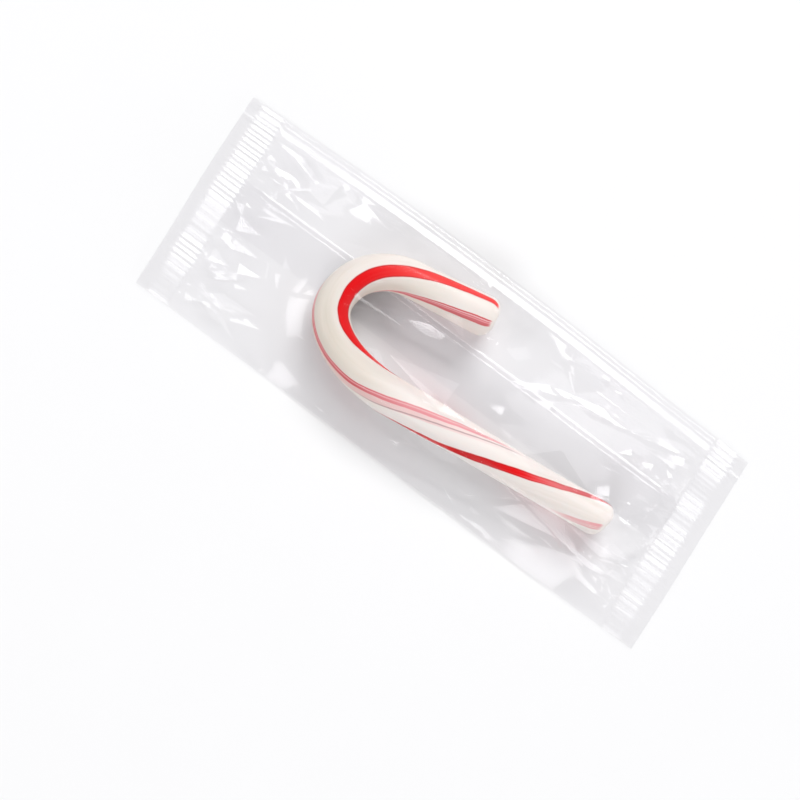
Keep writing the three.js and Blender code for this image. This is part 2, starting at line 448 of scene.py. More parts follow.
# Pink over the narrow stripe: near the leg's end partly a painted veil of the film's sheen
NARROW_PALE_AND_SHEEN = ((0.02, 0.7), (0.08, 0.3), (0.12, 0), (0.31, 0), (0.38, 0.6))
BAND_TURN = ((0.23, 232), (0.32, 241), (0.37, 242), (0.43, 246), (0.48, 251), (0.53, 246), (0.64, 247))
BAND_HALF = ((0.22, 2.5), (0.27, 5), (0.32, 7), (0.37, 8), (0.5, 8), (0.58, 9))
BAND_SHOWS = ((0.19, 0), (0.25, 0.5), (0.42, 0.6), (0.52, 0.95), (0.63, 0.95), (0.7, 0))
STAIN_SHOWS = ((0.2, 0), (0.3, 0.25), (0.4, 0.42), (0.5, 0.45), (0.7, 0))
THREAD_TURN = 222
THREAD_HALF = 2
THREAD_SHOWS = ((0.17, 0), (0.22, 0.8), (0.36, 0.9), (0.48, 0.8), (0.53, 0))
SECOND_TURN = ((0, 90), (0.053, 74), (0.08, 68), (0.5, 76), (0.79, 76), (0.85, 80), (0.91, 80), (0.99, 71))
SECOND_HALF = ((0, 13), (0.08, 9), (0.12, 4), (0.78, 3), (0.85, 7.5), (0.9, 10.2), (0.96, 11.6))
SECOND_SHOWS = ((0.0, 0.55), (0.07, 0.4), (0.11, 0), (0.7, 0), (0.77, 0.8), (0.82, 1))
# Across both sets of pinstripes: (share of their width from the lower side, strength)
BAND_ACROSS = ((0, 0.9), (0.1, 1), (0.5, 0.9), (0.6, 0.45), (0.72, 0.45), (0.8, 1), (1, 1))
SECOND_ACROSS = ((0.0, 1), (0.12, 1), (0.2, 0.3), (0.28, 0.35), (0.35, 0.95), (0.44, 0.5), (0.52, 0.6),
                 (0.6, 0.85), (0.88, 0.85), (0.96, 1))  # fmt: skip
# Beige on either side of the broad stripe: partly denser sugar, partly painted shade away from the light
OUTSIDE_PAINTED_SHADE = ((0.42, 0), (0.51, 0.45), (0.6, 0.6), (0.67, 0.45), (0.74, 0))
INSIDE_PAINTED_SHADE = ((0.58, 0), (0.66, 0.6), (0.8, 0.45), (0.93, 0))
# Noise in the sugar: how often it changes round the rope and along it, its detail and roughness
SUGAR_NOISE = {
    "waver": (0.6, 22, 2, 0.5),
    "ragged": (7, 60, 2, 0.5),
    "streaks": (9, 3, 4, 0.6),
    "clouds": (1.5, 9, 2, 0.5),
    "bands": (3, 3, 2, 0.5),
    "pits": (14, 420, 2, 0.6),
}
WAVER = 4  # degrees that the stripes' sides wander
RAGGED = 1.6  # degrees that they fray
SOFT_SIDE = 1.2  # degrees over which a side blurs, each way
FRINGE = 5  # degrees of stained sugar outside a side
STAIN_WIDER = 10  # degrees by which the stain is wider, each way, than the first pinstripes
STAIN_BELOW = 9  # degrees from their middle to the stain's

# Where a point lies across a stripe, -1 and 1 at its sides; 1 inside it; and 1 inside it, fading
# to 0 a little way outside
Stripe = namedtuple("Stripe", "aside inside fringe")


class Rope:
    """Reads where a point lies on the rope, and on its stripes, in a finish."""

    def __init__(self, finish):
        self.finish = finish
        self.place = finish.node("ShaderNodeAttribute", {"attribute_name": "stripe"}).outputs["Vector"]
        parts = finish.node("ShaderNodeSeparateXYZ", None, {0: self.place}).outputs
        self.sine, self.cosine, self.share = (Value(finish, socket) for socket in parts)
        self.ring = (self.sine * self.sine + self.cosine * self.cosine) ** 0.5
        self.wander = (self.noise("waver") - 0.5) * WAVER + (self.noise("ragged") - 0.5) * RAGGED

    def noise(self, name):
        """The noise of this name, which follows the rope."""
        around, along, detail, roughness = SUGAR_NOISE[name]
        vector = self.finish.scaled(self.place, (around, around, along))
        return self.finish.noise(vector, 1.0, detail, roughness)

    def shown(self, stops):
        """A strength given at shares of the rope's length."""
        return self.finish.curve(self.share, stops)

    def degrees(self, stops):
        """An angle given at shares of the rope's length."""
        return self.shown([(at, value / 360) for at, value in stops]) * 360

    def stripe(self, middle, half):
        """The stripe with its middle at this angle from the broad one, and half this wide."""
        sin, cos = sine_cosine(middle * (math.pi / 180))
        aside = self.sine * cos - self.cosine * sin
        along = self.cosine * cos + self.sine * sin
        turned = aside.math("ARCTAN2", aside, along) * (180 / math.pi) + self.wander
        inside = 1 - abs(turned).ramp(half - SOFT_SIDE, half + SOFT_SIDE)
        fringe = 1 - abs(turned).ramp(half, half + FRINGE)
        return Stripe(turned / half, inside, fringe)

    def pinstripes(self, turns, halves, across, shows):
        """How strongly a set of pinstripes shows: 0.5 for stained sugar, 1 for full pink."""
        stripe = self.stripe(self.degrees(turns), self.degrees(halves))
        return stripe.inside * self.finish.curve(stripe.aside * 0.5 + 0.5, across) * self.shown(shows)


def white_sugar(cane, rope, streaks):
    """Cream-white, more beige in streaks and the bend; beside the broad stripe partly painted shade."""
    clouds = rope.noise("clouds").ramp(0.4, 0.7)
    bands = rope.noise("bands").ramp(0.48, 0.66) * rope.share.ramp(0.3, 0.12)
    bent = rope.share.ramp(0.42, 0.56)
    dense_and_shade = (streaks.ramp(0.4, 0.85) * 0.2 + clouds * 0.15) * (bent * 0.5 + 0.5)
    dense_and_shade = (dense_and_shade + bent * 0.2 + bands * 0.25) * rope.ring
    # Painted shade on the flanks either side of the broad stripe, with denser sugar there
    dense_and_shade += rope.shown(OUTSIDE_PAINTED_SHADE) * rope.sine.ramp(-0.25, -0.8)
    dense_and_shade += rope.shown(INSIDE_PAINTED_SHADE) * rope.sine.ramp(0.25, 0.8)
    return rope.finish.coated(cane.sugar, (dense_and_shade.least(1), cane.sugar_streak_and_shade))


def red_sugar(cane, rope, streaks, broad, narrow):
    """Red, painted highlight near the tip, a paler narrow stripe (partly painted veil) at the leg's end,
    dark rims.
    """
    uneven = (streaks - 0.5) * 0.7
    # Lighter towards the tip: a painted highlight, broken by streaks
    light = (rope.share.ramp(0.72, 0.88) + uneven).held()
    # Paler near the leg's end: partly a painted veil of film sheen
    pale_red_and_sheen = (rope.share.ramp(0.2, 0.08) + uneven * 1.5).held()
    broad_rim = abs(broad.aside).ramp(0.72, 0.95) * broad.inside
    narrow_rim = abs(narrow.aside).ramp(0.6, 0.95) * narrow.inside
    return rope.finish.coated(
        cane.red,
        (light, cane.red_highlight),
        (pale_red_and_sheen * narrow.inside, cane.pale_red_and_sheen),
        (narrow.inside * rope.shown(NARROW_DEEP), cane.red_edge),
        (narrow.inside * rope.shown(NARROW_PALE_AND_SHEEN), cane.pink),
        (broad_rim.most(narrow_rim) * 0.75, cane.red_edge),
    )


def sugar_finish(cane):
    """Pulled sugar with one broad and one narrow red stripe and two sets of pinstripes."""
    finish = Finish("pulled_sugar")
    rope = Rope(finish)
    broad = rope.stripe(0, rope.degrees(BROAD_HALF))
    narrow = rope.stripe(rope.degrees(NARROW_TURN), rope.degrees(NARROW_HALF))
    thread = rope.stripe(THREAD_TURN, THREAD_HALF).inside * rope.shown(THREAD_SHOWS)
    lines = rope.pinstripes(BAND_TURN, BAND_HALF, BAND_ACROSS, BAND_SHOWS)
    lines = lines.most(rope.pinstripes(SECOND_TURN, SECOND_HALF, SECOND_ACROSS, SECOND_SHOWS))
    stain = rope.stripe(rope.degrees(BAND_TURN) - STAIN_BELOW, rope.degrees(BAND_HALF) + STAIN_WIDER)
    stained = stain.inside * rope.shown(STAIN_SHOWS)
    stained = stained.most(broad.fringe.most(narrow.fringe) * 0.3)

    streaks = rope.noise("streaks")
    skin = rope.ring.ramp(0.72, 0.9)  # the stripes don't run over the cut faces
    coloured = finish.coated(
        white_sugar(cane, rope, streaks),
        (stained * skin, cane.blush),
        (thread * skin, cane.thread),
        ((lines * 2).least(1) * skin, cane.blush),
        ((lines * 2 - 1).most(0) * skin, cane.pink),
        (broad.inside.most(narrow.inside) * skin, red_sugar(cane, rope, streaks, broad, narrow)),
    )
    relief = streaks * 0.6 + rope.noise("pits").ramp(0.5, 0.72) * 0.4
    surface = {
        "Base Color": coloured,
        "Roughness": streaks * 0.2 + 0.3,
        "Specular IOR Level": 0.17,
        "Subsurface Weight": 0.15,
        "Subsurface Radius": (1.0, 0.55, 0.45),
        "Subsurface Scale": 0.6 * MM,
        "Normal": finish.bump(relief, 0.3, 0.05 * MM),
    }
    return finish.finished(finish.principled(surface))


# ---- The film: a taut drape, its creases, its crimps and the pleat along one edge ----

ROPE_SPOTS = 380  # spots along the rope that the film is laid over
DRAPE_CELL = 0.5 * MM
DRAPE_ROUNDS = (300, 60)  # fast rounds, then plain ones that even the heights out
OVER_RELAX = (1.86, 1.0)
BLUR_ROUNDS = 5
FLAT_LEVELS = (1 * MM, 0.0)  # of the upper and the lower sheet before they get their heights
MID_LEVEL = sum(FLAT_LEVELS) / 2
STRIP = 3 * MM  # width of the strips that a sheet's faces are sorted into
NEARBY = STRIP / 3  # how far outside a crease its faces are looked for
FILM_GAP = 0.1 * MM  # between the cane and the film that touches it
CLING_GAP = (0.01 * MM, 0.7 * MM)  # over this rise from the cane the film stops clinging to it
CLING_CALM = 0.9  # how much flatter its creases are where it clings
FILM = 0.07 * MM  # between the two sheets where they are pressed together
SEAL_HEIGHT = 0.42 * MM  # of the crimps over the table
FILM_BASE = 0.13 * MM  # of the lower sheet over the table
LOWEST = 0.03 * MM  # that any of the bag comes down to
CRIMP_CUTS = 2  # extra rows in each cell of the crimps
RIB_RISE = 0.4  # share of a rib's pitch over which it rises
RIB_DEPTH = 0.85  # usual depth of a rib, as a share of the rib height
RIB_DEPTHS = (0.3, 1.1)  # its limits
WORN_RIBS = 0.86  # depth of the ribs at the leg's end, next to the others
RIM_REACH = 6 * MM  # how far from an edge the lower sheet lifts
NEAR_RIM = 0.3 * MM  # height of the folded edge beside the leg
FAR_RIM = 0.35 * MM  # height of the pleated edge, away from its arch
ARCH_RISE = 1.3 * MM  # how much higher that edge stands beside the hook
ARCH_PLACE = -3 * MM
ARCH_REACH = 17 * MM
CRUMPLE_SIZE = (6.5 * MM, 3.2 * MM)  # of the film's small unevenness, along and across the bag
CRUMPLE_RISE = 0.08 * MM
SHARP = math.radians(11)  # creases steeper than this stay crisp
# Profile across the pleated edge, (share of its width, height in mm) from inside to outside
PLEAT_PROFILE = ((0, 0.1), (0.12, 0.72), (0.46, 0.12), (0.56, 0.1), (0.6, 0.2), (0.68, 0.06),
                 (0.78, 0.06), (0.82, 0.18), (0.89, 0.05), (1, 0.03))  # fmt: skip
PLEAT_PRESSED = 0.7  # how much lower the pleat is in the crimps
FIN_IN_CRIMP = 0.4 * MM  # how far the seam's fin reaches into each crimp
FIN_BELOW = 0.06 * MM  # how far it lies below the lower sheet
FIN_LOWEST = 0.01 * MM  # that the fin comes down to
# The fin's free edge shows as ridges: (place from that edge, half width, height), in mm
SEAM_RIDGES = ((0, 0.2, 0.1), (-0.9, 0.12, 0.06))
# Slow unevenness of the film: its height, which for the ribs is a share of theirs, its length, and
# where its noise starts
WAVES = {
    "outline": (0.2 * MM, 26 * MM, 1.2),
    "ends": (0.35 * MM, 17 * MM, 4.4),
    "near rim": (0.16 * MM, 9 * MM, 3.1),
    "far rim": (0.15 * MM, 11 * MM, 8.2),
    "crimps": (0.1 * MM, 8 * MM, 5.7),
    "rib depth": (0.7, 5 * MM, 2.2),
    "flaps": (0.28 * MM, 7 * MM, 6.6),
}
STEEPEST = 0.6  # that a crease falls
TAUT_SLOPES = (0.62, 0.85)  # over these slopes the film grows taut
TAUT_CALM = 0.75  # how much lower creases are on taut film
# How steeply a random crease falls on its steep side
TILTS = (0.42, 0.6)
GATHER_REACH = (4, 15)  # mm that a gather runs from its crimp into the bag
GATHER_WIDTHS = (0.7, 2.0)  # mm, of each of its sides
GATHER_LEAN = 0.35  # how far the outermost gathers lean towards the middle, as a slope
GATHER_STRAY = 0.25  # how far any of them strays from its lean, either way
# Random creases of both sheets: how many gathers at each crimp, and then for each kind of kink how
# many, ranges of length and width in mm, spread of direction in radians, and range of tilt
TOP_GATHERS = 12
TOP_KINKS = (
    (34, (2.5, 9), (0.5, 1.7), 0.9, TILTS),
    (14, (14, 38), (0.3, 0.6), 0.2, TILTS),
    (24, (6, 18), (1.5, 4.5), 0.8, (0.12, 0.34)),
)
BASE_GATHERS = 9
BASE_KINKS = ((16, (4, 14), (0.6, 1.8), 0.5, TILTS),)
# Creases (x, y of both ends, where the peak lies between them, widths to the left and the right
# of it, in mm, and how steeply the left side falls)
MAIN_CREASES = (
    (8.5, 4.2, 22.0, 9.3, 0.6, 1.3, 1.2, 0.5),
    (16.5, 8.6, 34.0, 10.6, 0.5, 1.3, 1.4, 0.5),
    (30.0, 10.1, 44.0, 13.6, 0.4, 1.1, 1.2, 0.5),
    (33.5, -1.6, 44.6, 3.0, 0.6, 0.9, 1.2, 0.5),
    (46.3, 0.3, 37.8, -2.3, 0.5, 2.8, 0.9, 0.16),
    (46.4, -4.8, 38.6, -6.0, 0.45, 1.9, 1.6, 0.14),
    (46.0, -6.6, 39.6, -8.6, 0.5, 1.7, 1.2, 0.3),
    (38.5, 3.6, 44.5, 3.4, 0.6, 1.5, 1.2, 0.5),
    (32.2, 6.4, 36.3, 8.2, 0.5, 1.0, 1.3, 0.52),
    (44.6, 8.3, 40.9, 6.8, 0.5, 1.0, 1.1, 0.52),
    (13.5, -17.2, 26.0, -9.0, 0.4, 0.6, 1.2, 0.52),
    (20.5, -14.0, 39.8, -11.2, 0.55, 0.6, 1.5, 0.52),
    (37.5, -9.6, 39.3, -12.0, 0.5, 0.9, 0.9, 0.52),
    (-44.0, -15.0, -29.0, -13.2, 0.5, 0.9, 1.6, 0.52),
    (-44.8, -14.8, -38.0, -7.0, 0.5, 1.0, 1.3, 0.52),
    (-38.2, 1.0, -39.0, -7.0, 0.4, 1.0, 1.2, 0.52),
    (-45.0, 9.0, -24.0, 7.8, 0.6, 0.7, 1.5, 0.52),
    (0.5, 9.8, 7.5, 8.6, 0.4, 1.0, 1.2, 0.5),
    (-10.2, 3.0, -0.6, 4.7, 0.4, 0.9, 1.1, 0.52),
    (-26.0, 13.8, -4.0, 15.2, 0.5, 0.6, 1.4, 0.52),
    (2.0, 13.0, 30.0, 15.0, 0.4, 0.5, 1.6, 0.5),
    (-16.0, -15.5, 12.0, -13.6, 0.5, 0.6, 1.4, 0.5),
)  # fmt: skip


def body_half(bag):
    """Half the length of the film between the crimps."""
    return bag.long / 2 - bag.crimp - bag.flap


class Crease:
    """A shallow four-sided pyramid: a fold from one end to the other with its peak between."""

    def __init__(self, start, end, peak, left, right, tilt):
        start, end = np.array(start), np.array(end)
        run = end - start
        self.span = np.linalg.norm(run)
        self.ahead = run / self.span
        self.side = np.array([-self.ahead[1], self.ahead[0]])
        self.peak = start + peak * run
        self.before = peak * self.span
        self.after = (1 - peak) * self.span
        self.left, self.right = left, right
        self.tilt = tilt
        self.height = tilt * left

    def local(self, flat):
        """Where points lie along and across it, from its peak."""
        offset = flat - self.peak
        return offset @ self.ahead, offset @ self.side

    def tune(self, slope):
        """Sets its height so that its left flank has its tilt on film that rises by this slope.

        Steep film is taut, so it creases less.
        """
        taut = eased(np.linalg.norm(slope), *TAUT_SLOPES)
        wanted = self.left * (self.tilt + slope @ self.side) * (1 - TAUT_CALM * taut)
        self.height = float(np.clip(wanted, -STEEPEST * self.left, STEEPEST * self.left))

    def lift(self, flat):
        """How far it lifts the film at these points."""
        along, across = self.local(flat)
        reach = np.where(along < 0, self.before, self.after)
        width = np.where(across > 0, self.left, self.right)
        return self.height * np.clip(1 - np.abs(along) / reach - np.abs(across) / width, 0, None)

    def cuts(self):
        """Points and directions of its straight lines: ridge, cross ridge and outline."""
        ends = (self.peak - self.before * self.ahead, self.peak + self.after * self.ahead)
        sides = (self.peak + self.left * self.side, self.peak - self.right * self.side)
        yield self.peak, self.ahead
        yield self.peak, self.side
        for end in ends:
            for corner in sides:
                yield end, (corner - end) / np.linalg.norm(corner - end)


def main_creases(bag):
    """The larger creases, each in its own place on the bag."""
    for x0, y0, x1, y1, peak, left, right, tilt in MAIN_CREASES:
        ends = [((x + bag.skew * y) * MM, y * MM) for x, y in ((x0, y0), (x1, y1))]
        yield Crease(*ends, peak, left * MM, right * MM, tilt)


def any_crease(rng, start, end, peak, widths, tilts):
    """A crease with a random one of its sides steep."""
    left, right = rng.uniform(*widths) * MM, rng.uniform(*widths) * MM
    ends = (start, end) if rng.random() < 0.5 else (end, start)
    return Crease(*ends, peak, left, right, rng.uniform(*tilts))


def gather_creases(bag, rng, count):
    """Gathers that run from each crimp into the bag, towards the thickness of the cane."""
    body = body_half(bag)
    for side in (-1, 1):
        for i in range(count):
            y = ((i + rng.uniform(0.2, 0.8)) / count - 0.5) * (bag.wide - bag.pleat)
            reach = rng.uniform(*GATHER_REACH) * MM
            lean = -GATHER_LEAN * y / bag.wide * 2 + rng.uniform(-GATHER_STRAY, GATHER_STRAY)
            start = (side * (body + 0.6 * MM), y)
            end = (side * (body - reach), y + lean * reach)
            yield any_crease(rng, start, end, rng.uniform(0.3, 0.7), GATHER_WIDTHS, TILTS)


def kink_creases(bag, rng, count, spans, widths, turns, tilts):
    """Kinks anywhere on the film: short ones make facets, long narrow ones are lines of tension."""
    body = body_half(bag)
    for _ in range(count):
        x = rng.uniform(-body, body)
        y = rng.uniform(-0.5 * bag.wide, 0.5 * bag.wide - bag.pleat)
        turn = rng.gauss(0, turns)
        span = rng.uniform(*spans) * MM
        end = (x + span * math.cos(turn), y + span * math.sin(turn))
        yield any_crease(rng, (x, y), end, rng.uniform(0.2, 0.8), widths, tilts)


def random_creases(bag, rng, gathers, kinks):
    """A sheet's gathers at both crimps, then its kinks in between."""
    yield from gather_creases(bag, rng, gathers)
    for kind in kinks:
        yield from kink_creases(bag, rng, *kind)


def eased(value, low, high):
    """0 up to low and 1 from high, smooth between."""
    t = np.clip((value - low) / (high - low), 0, 1)
    return t * t * (3 - 2 * t)


def waves(name, x):
    """Smooth noise along a line of points, up to its height either way."""
    height, length, start = WAVES[name]
    found = np.array([noise.noise((value / length, start, 0.3)) for value in np.ravel(x)])
    return height * found.reshape(np.shape(x))


class Bag:
    """The film's shape. Flat points are (x, y) of the tube laid flat and square."""

    def __init__(self, bag, cane, route):
        self.settings, self.cane, self.route = bag, cane, route
        self.half = np.array([bag.long / 2, bag.wide / 2])
        self.body = body_half(bag)
        self.pleat_in = bag.wide / 2 - bag.pleat
        rng = random.Random(bag.seed)
        self.top_creases = [*main_creases(bag), *random_creases(bag, rng, TOP_GATHERS, TOP_KINKS)]
        self.base_creases = list(random_creases(bag, rng, BASE_GATHERS, BASE_KINKS))
        self.columns = np.linspace(-self.half[0], self.half[0], round(bag.long / DRAPE_CELL) + 1)
        self.rows = np.linspace(-self.half[1], self.half[1], round(bag.wide / DRAPE_CELL) + 1)
        self.drape = self.draped()
        for crease in self.top_creases:
            crease.tune(self.slope_at(crease.peak))

    def placed(self, flat):
        """Flat points where they really lie: both ends askew, the pleated edge drawn in at both."""
        x, y = flat[..., 0], flat[..., 1]
        long, wide = self.half
        drawn = self.settings.taper * (x / long) ** 2 * eased(y, 0.2 * wide, wide)
        lifted = y - drawn + waves("outline", x)
        pulled = waves("ends", y + 2 * x) * eased(np.abs(x), 0.7 * long, long)
        return np.stack([x + pulled - self.settings.skew * lifted, lifted], axis=-1)

    def over_cane(self, flat, gap):
        """Height of the film where it touches the cane, or 0 beside the cane."""
        spots = self.placed(flat).reshape(-1, 2)
        s = np.linspace(0, self.route.length, ROPE_SPOTS)
        centres = self.route.at(s)
        reach = rope_radius(self.cane, s / self.route.length) + gap
        top = np.zeros(len(spots))
        for centre, radius in zip(centres, reach):
            left = radius**2 - ((spots - centre) ** 2).sum(axis=1)
            near = left > 0
            top[near] = np.maximum(top[near], self.cane.height + np.sqrt(left[near]))
        return top.reshape(flat.shape[:-1])

    def rim(self, flat):
        """Height of the pressed-together edge nearest to each point."""
        x, y = flat[..., 0], flat[..., 1]
        near = NEAR_RIM + waves("near rim", x)
        arch = ARCH_RISE * np.exp(-(((x - ARCH_PLACE) / ARCH_REACH) ** 2))
        far = FAR_RIM + arch + waves("far rim", x)
        along = near + (far - near) * eased(y, -0.2 * self.half[1], 0.2 * self.half[1])
        sealed = SEAL_HEIGHT + waves("crimps", y)
        ends = eased(np.abs(x), self.body - 1.5 * MM, self.body)
        return along + (sealed - along) * ends

    def draped(self):
        """Heights of a taut film over the cane, held along the crimps, the edge and the pleat."""
        flat = np.stack(np.meshgrid(self.columns, self.rows, indexing="ij"), axis=-1)
        under = self.over_cane(flat, FILM_GAP)
        heights = np.maximum(under, self.rim(flat))
        free = (np.abs(flat[..., 0]) < self.body) & (flat[..., 1] < self.pleat_in)
        free &= flat[..., 1] > self.rows[0]
        parity = np.indices(free.shape).sum(axis=0) % 2
        inner = (slice(1, -1), slice(1, -1))
        masks = [free[inner] & (parity[inner] == odd) for odd in (0, 1)]
        for rounds, over_relax in zip(DRAPE_ROUNDS, OVER_RELAX):
            for mask in masks * rounds:
                mean = heights[:-2, 1:-1] + heights[2:, 1:-1] + heights[1:-1, :-2] + heights[1:-1, 2:]
                centre = heights[inner]
                moved = centre + over_relax * (mean / 4 - centre)
                centre[mask] = np.maximum(moved, under[inner])[mask]
        for _ in range(BLUR_ROUNDS):
            for axis in (0, 1):
                mean = (np.roll(heights, 1, axis) + np.roll(heights, -1, axis)) / 4 + heights / 2
                heights[free] = mean[free]
        return heights

    def draped_at(self, flat):
        """The drape's height between its grid points."""
        column = np.interp(flat[:, 0], self.columns, np.arange(len(self.columns)))
        row = np.interp(flat[:, 1], self.rows, np.arange(len(self.rows)))
        i = np.minimum(column.astype(int), len(self.columns) - 2)
        j = np.minimum(row.astype(int), len(self.rows) - 2)
        u, v = column - i, row - j
        grid = self.drape
        low = grid[i, j] * (1 - u) + grid[i + 1, j] * u
        high = grid[i, j + 1] * (1 - u) + grid[i + 1, j + 1] * u
        return low * (1 - v) + high * v

    def slope_at(self, spot):
        """How the drape rises along and across the bag at a point."""
        step = 0.6 * MM
        around = spot + step * np.array([(1, 0), (-1, 0), (0, 1), (0, -1)])
        right, left, far, near = self.draped_at(around)
        return np.array([right - left, far - near]) / (2 * step)

    def clings(self, flat):
        """1 where the film lies on the cane, down to 0 where it hangs free."""
        gap = self.draped_at(flat) - self.over_cane(flat, FILM_GAP)
        return 1 - eased(gap, *CLING_GAP)

    def ribs(self, flat):
        """The ribs pressed into both crimps, and the curl of the flaps outside them."""
        x, y = flat[:, 0], flat[:, 1]
        phase = (y / self.settings.rib_pitch) % 1
        phase = np.minimum(phase / RIB_RISE, (1 - phase) / (1 - RIB_RISE)) - 0.5
        outer = self.half[0] - self.settings.flap
        pressed = eased(np.abs(x), self.body, self.body + 0.35 * MM)
        pressed *= 1 - eased(np.abs(x), outer - 0.3 * MM, outer)
        uneven = RIB_DEPTH + waves("rib depth", y + 3 * np.sign(x))
        depth = self.settings.rib_height * np.clip(uneven, *RIB_DEPTHS)
        depth *= np.where(x > 0, WORN_RIBS, 1)
        curl = waves("flaps", y) * eased(np.abs(x), outer, self.half[0])
        return phase * depth * pressed + curl

    def free_share(self, flat):
        """1 where the film is free to crease, 0 on the crimps and at the edges."""
        x, y = flat[:, 0], flat[:, 1]
        ends = 1 - eased(np.abs(x), self.body - 1.2 * MM, self.body)
        near_side = eased(y, -self.half[1], 2 * MM - self.half[1])
        return ends * near_side * (1 - eased(y, self.pleat_in - 1.5 * MM, self.pleat_in))

    def pleated(self, flat):
        """Height of the pleat's profile over the rim, 0 outside the pleat."""
        share = (flat[:, 1] - self.pleat_in) / self.settings.pleat
        places, heights = zip(*PLEAT_PROFILE)
        lift = np.interp(share, places, heights) * MM
        ends = 1 - PLEAT_PRESSED * eased(np.abs(flat[:, 0]), self.body, self.body + 1 * MM)
        return np.where(share > 0, lift * ends, 0)

    def top(self, flat):
        """Heights of the upper sheet."""
        share = self.free_share(flat) * (1 - CLING_CALM * self.clings(flat))
        lift = sum(crease.lift(flat) for crease in self.top_creases)
        heights = self.draped_at(flat) + share * (lift + self.crumpled(flat))
        heights += self.ribs(flat) + self.pleated(flat)
        heights = np.maximum(heights, self.over_cane(flat, 0.5 * FILM_GAP))
        return np.maximum(heights, self.base(flat) + FILM)

    def crumpled(self, flat):
        """Small random unevenness of the film, drawn out along the bag."""
        rough = [noise.noise((*spot, 1.7)) for spot in flat / CRUMPLE_SIZE]
        return CRUMPLE_RISE * np.array(rough)

    def base(self, flat):
        """Heights of the lower sheet, which lies on the table inside its lifted rim."""
        x, y = flat[:, 0], flat[:, 1]
        inwards = np.minimum(self.body - np.abs(x), np.minimum(y - self.rows[0], self.pleat_in - y))
        near = (1 - np.clip(inwards / RIM_REACH, 0, 1)) ** 2
        lift = sum(crease.lift(flat) for crease in self.base_creases)
        edge = self.settings.fin_edge
        foot = edge - self.settings.fin
        over_fin = eased(y, foot - 1 * MM, foot) * (1 - eased(y, edge + 0.5 * MM, edge + 1.5 * MM))
        raised = np.abs(lift) * (1 - over_fin) + self.seam_ridges(y)
        flat_part = FILM_BASE + self.free_share(flat) * raised
        base = flat_part + (self.rim(flat) - FILM - flat_part) * near
        over = self.over_cane(flat, FILM_GAP)
        base = np.where(over > 0, np.minimum(base, 2 * self.cane.height - over), base)
        return np.maximum(base + self.ribs(flat), LOWEST)

    def seam_ridges(self, y):
        """Heights of the ridges that the fin's free edge makes in the lower sheet."""
        off = (y - self.settings.fin_edge) / MM
        ridges = [high * np.clip(1 - np.abs(off - at) / half, 0, None) for at, half, high in SEAM_RIDGES]
        return sum(ridges) * MM


def cut(bm, faces, point, direction):
    """Cuts faces along a line of the flat film, and gives the faces afterwards."""
    edges = {edge for face in faces for edge in face.edges}
    verts = {vert for face in faces for vert in face.verts}
    made = bmesh.ops.bisect_plane(
        bm,
        geom=[*verts, *edges, *faces],
        dist=0.02 * MM,
        plane_co=(*point, 0),
        plane_no=(direction[1], -direction[0], 0),
    )
    return [part for part in made["geom"] if isinstance(part, bmesh.types.BMFace)]


class Sheet:
    """The faces of one flat sheet, sorted into strips so that those near a crease are found fast."""

    def __init__(self, faces):
        self.strips = {}
        self.add(faces)

    def add(self, faces):
        for face in faces:
            strip = int(face.calc_center_median().x // STRIP)
            self.strips.setdefault(strip, []).append(face)

    def near(self, crease):
        """The faces within a short way of a crease."""
        ends = [crease.peak[0] + way * crease.ahead[0] for way in (-crease.before, crease.after)]
        low, high = (int(end // STRIP) for end in (min(ends), max(ends)))
        faces = [f for strip in range(low - 1, high + 2) for f in self.strips.get(strip, ())]
        along, across = crease.local(np.array([f.calc_center_median()[:2] for f in faces]))
        near = (along > -crease.before - NEARBY) & (along < crease.after + NEARBY)
        near &= (across < crease.left + NEARBY) & (across > -crease.right - NEARBY)
        return [face for face, is_near in zip(faces, near) if is_near]


def cut_creases(bm, creases, faces):
    """Cuts a sheet along the lines of each crease, so that its facets stay crisp."""
    sheet = Sheet(faces)
    for crease in creases:
        chosen = before = sheet.near(crease)
        for point, direction in crease.cuts():
            if chosen:
                chosen = cut(bm, chosen, point, direction)
        sheet.add(set(chosen) - set(before))


def flat_sheet(bm, bag, half, y=0, level=0):
    """Adds a flat grid of the film's cells. Half holds half its length and width."""
    place = Matrix.Translation((0, y, level)) @ Matrix.Diagonal((*half, 1, 1))
    columns, rows = (round(2 * reach / bag.cell) for reach in half)
    bmesh.ops.create_grid(bm, x_segments=columns, y_segments=rows, size=1, matrix=place)


def flat_tube(bag):
    """The tube laid flat: two sheets, joined all round."""
    bm = bmesh.new()
    for level in FLAT_LEVELS:
        flat_sheet(bm, bag, (bag.long / 2, bag.wide / 2), level=level)
    bmesh.ops.bridge_loops(bm, edges=[e for e in bm.edges if e.is_boundary])
    bmesh.ops.recalc_face_normals(bm, faces=bm.faces[:])
    return bm


def divide_crimps(bm, bag):
    """Adds rows along both crimps, fine enough for their ribs."""
    inner = body_half(bag) - bag.cell
    chosen = []
    for edge in bm.edges:
        a, b = (v.co for v in edge.verts)
        across = max(abs(a.x - b.x), abs(a.z - b.z)) < 0.01 * MM
        if across and abs(a.x) > inner:
            chosen.append(edge)
    bmesh.ops.subdivide_edges(bm, edges=chosen, cuts=CRIMP_CUTS, use_grid_fill=False)


def lay(bm, shape, flat, heights, seals):
    """Moves flat points to where they really lie, and notes how sealed the film is at each."""
    note = bm.verts.layers.float.new("seal")
    for v, place, height, seal in zip(bm.verts, shape.placed(flat), heights, seals):
        v.co = (*place, height)
        v[note] = seal


